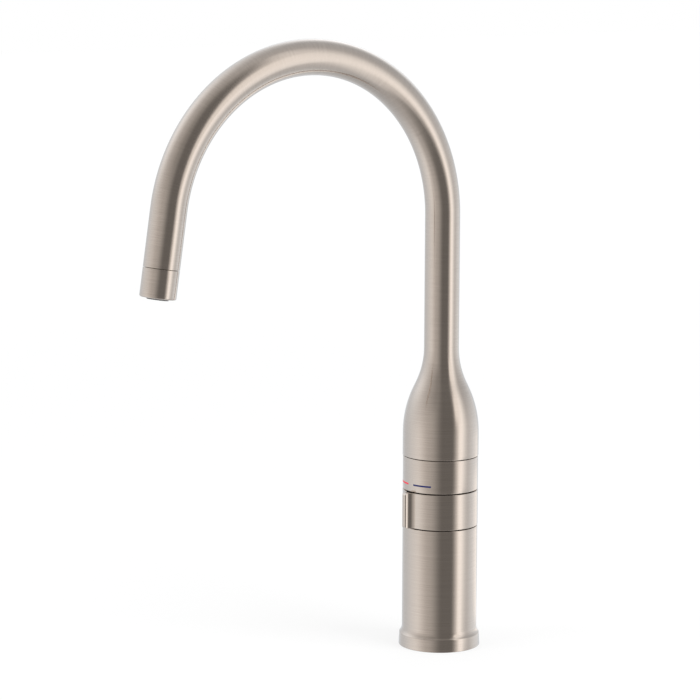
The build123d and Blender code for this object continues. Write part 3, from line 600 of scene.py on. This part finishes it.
def studio_dome():
    """Sphere that only gloss sees: dark panels in front, soft boxes round it and a tint."""
    bpy.ops.mesh.primitive_uv_sphere_add(segments=64, ring_count=32, radius=studio_radius)
    dome = bpy.context.object
    dome.name = "studio_dome"
    dome.location.z = studio_height
    dome.rotation_euler.z = math.radians(camera_azimuth)
    r = Recipe("studio_dome")
    place = r.add("TexCoord").outputs["Object"]
    way = r.add("VectorMath", {0: place}, operation="NORMALIZE").outputs[0]
    axes = r.add("SeparateXYZ", {0: way}).outputs
    across = r.math("DEGREES", r.math("ARCTAN2", axes[1], axes[0]))
    up = r.math("DEGREES", r.math("ARCSINE", axes[2]))
    level = studio_level
    for sides, heights, bright in fitted_panels + compared_panels:
        middle = (sides[0] + sides[1]) / 2
        turned = r.math("WRAP", r.math("SUBTRACT", across, middle), 180, -180)
        inside = r.window(turned, sides[0] - middle, sides[1] - middle, *sides[2:])
        share = r.math("MULTIPLY", inside, r.window(up, *heights))
        level = r.add("MapRange", {0: share, 3: level, 4: bright}).outputs[0]
    rise = math.radians(camera_rise)
    front = r.add("VectorMath", {0: way, 1: (math.cos(rise), 0, math.sin(rise))}, operation="DOT_PRODUCT")
    turned_away = {0: front.outputs["Value"], 1: tint_front_cosine, 2: tint_back_cosine}
    behind = r.add("MapRange", turned_away).outputs[0]
    tint = r.blend(behind, studio_front_tint, studio_back_tint)
    light = r.add("Emission", {"Color": tint, "Strength": level})
    r.tree.links.new(light.outputs[0], r.tree.nodes["Material Output"].inputs[0])
    dome.data.materials.append(r.material)
    dome.visible_camera = dome.visible_diffuse = dome.visible_shadow = False
    dome.visible_transmission = dome.visible_volume_scatter = False


def floor_card():
    """Brightens the far edge of the body, which mirrors the floor behind it."""
    bpy.ops.mesh.primitive_plane_add(size=card_size, location=(0, 0, card_lift))
    card = bpy.context.object
    card.name = "floor_card"
    card.rotation_euler.z = math.radians(camera_azimuth)
    r = Recipe("floor_card")
    place = r.add("TexCoord").outputs["Object"]
    away = r.add("VectorMath", {0: place}, operation="LENGTH").outputs["Value"]
    axes = r.add("SeparateXYZ", {0: place}).outputs
    across = r.math("DEGREES", r.math("ARCTAN2", axes[1], axes[0]))
    share = r.math("MULTIPLY", r.window(across, *card_sides), r.window(away, *card_reach))
    clear = r.add("BsdfTransparent").outputs[0]
    glow = r.add("Emission", {"Strength": card_level}).outputs[0]
    mixed = r.add("MixShader", {0: share, 1: clear, 2: glow})
    r.tree.links.new(mixed.outputs[0], r.tree.nodes["Material Output"].inputs[0])
    card.data.materials.append(r.material)
    card.visible_camera = card.visible_diffuse = card.visible_shadow = False
    card.visible_transmission = card.visible_volume_scatter = False


def floor():
    """Pale floor that the camera sees as white, but for the shadow. The white grows with the distance."""
    bpy.ops.mesh.primitive_plane_add(size=floor_size)
    plane = bpy.context.object
    plane.name = "floor"
    r = Recipe("pale_floor")
    seen = r.add("LightPath").outputs["Is Camera Ray"]
    place = r.add("TexCoord").outputs["Object"]
    fine = r.noise(place, 40.0)
    r.set(Base_Color=r.blend(fine, (0.80, 0.80, 0.80), (0.82, 0.82, 0.82)), Roughness=0.8)
    share = r.math("MULTIPLY", seen, floor_white_share)
    away = r.add("VectorMath", {0: place}, operation="LENGTH").outputs["Value"]
    levels = {0: away, 1: 0.0, 2: floor_white_reach, 3: floor_white_near, 4: floor_white_far}
    level = r.add("MapRange", levels).outputs[0]
    white = r.add("Emission", {"Color": (1, 1, 1, 1), "Strength": level})
    mixed = r.add("MixShader", {0: share, 1: r.shader.outputs[0], 2: white.outputs[0]})
    r.tree.links.new(mixed.outputs[0], r.tree.nodes["Material Output"].inputs[0])
    plane.data.materials.append(r.material)
    plane.visible_glossy = False


def sky():
    """White world to the camera, gloss and glass, and a dimmer one as a light."""
    world = bpy.data.worlds.new("studio")
    bpy.context.scene.world = world
    world.use_nodes = True
    nodes, links = world.node_tree.nodes, world.node_tree.links
    path = nodes.new("ShaderNodeLightPath")
    seen = nodes.new("ShaderNodeMath")
    seen.operation = "MAXIMUM"
    both = nodes.new("ShaderNodeMath")
    both.operation = "MAXIMUM"
    links.new(path.outputs["Is Camera Ray"], seen.inputs[0])
    links.new(path.outputs["Is Glossy Ray"], seen.inputs[1])
    links.new(seen.outputs[0], both.inputs[0])
    links.new(path.outputs["Is Transmission Ray"], both.inputs[1])
    dim = nodes["Background"]
    dim.inputs["Color"].default_value = (1, 1, 1, 1)
    dim.inputs["Strength"].default_value = world_level
    white = nodes.new("ShaderNodeBackground")
    white.inputs["Color"].default_value = (1, 1, 1, 1)
    white.inputs["Strength"].default_value = world_seen_level
    mixed = nodes.new("ShaderNodeMixShader")
    links.new(both.outputs[0], mixed.inputs[0])
    links.new(dim.outputs[0], mixed.inputs[1])
    links.new(white.outputs[0], mixed.inputs[2])
    links.new(mixed.outputs[0], nodes["World Output"].inputs[0])


def soft_lamp(name, aside, elevation, power):
    """Square lamp that faces the tap. It lights what isn't metal: the metal sees the dome."""
    data = bpy.data.lights.new(name, "AREA")
    data.size, data.energy = lamp_size, power
    lamp = bpy.data.objects.new(name, data)
    a, e = math.radians(camera_azimuth + aside), math.radians(elevation)
    away = Vector((math.cos(a) * math.cos(e), math.sin(a) * math.cos(e), math.sin(e)))
    lamp.location = away * lamp_distance + Vector((0, 0, lamp_aim_height))
    lamp.rotation_euler = away.to_track_quat("Z", "Y").to_euler()
    lamp.visible_glossy = False
    bpy.context.scene.collection.objects.link(lamp)


def camera():
    data = bpy.data.cameras.new("camera")
    data.sensor_width = camera_sensor
    data.lens = camera_lens
    eye = bpy.data.objects.new("camera", data)
    eye.location = Vector(camera_place) * MM
    ahead = (Vector(camera_target) - Vector(camera_place)).normalized()
    turn = ahead.to_track_quat("-Z", "Y").to_matrix() @ Matrix.Rotation(math.radians(camera_roll), 3, "Z")
    eye.rotation_euler = turn.to_euler()
    bpy.context.scene.collection.objects.link(eye)
    bpy.context.scene.camera = eye


camera()
sky()
floor()
studio_dome()
floor_card()
soft_lamp("key", *key_lamp)
soft_lamp("fill", *fill_lamp)

materials = finishes()
slots = {part["node"]: part["material_slot"] for part in frame["record"]["subparts"]}
for node, piece in frame["nodes"].items():
    dress(piece, slots[node], materials)
for make in (body_shell, control_ring, index_ring, spout, aerator_collar):
    dress(make(), "brushed_nickel", materials)
hot_span, cold_span = mark_spans()
dress(enamel_mark("hot_enamel", "hot_mark", hot_span), "red_enamel", materials)
dress(enamel_mark("cold_enamel", "cold_mark", cold_span), "blue_enamel", materials)

bpy.context.scene.view_settings.view_transform = "Standard"
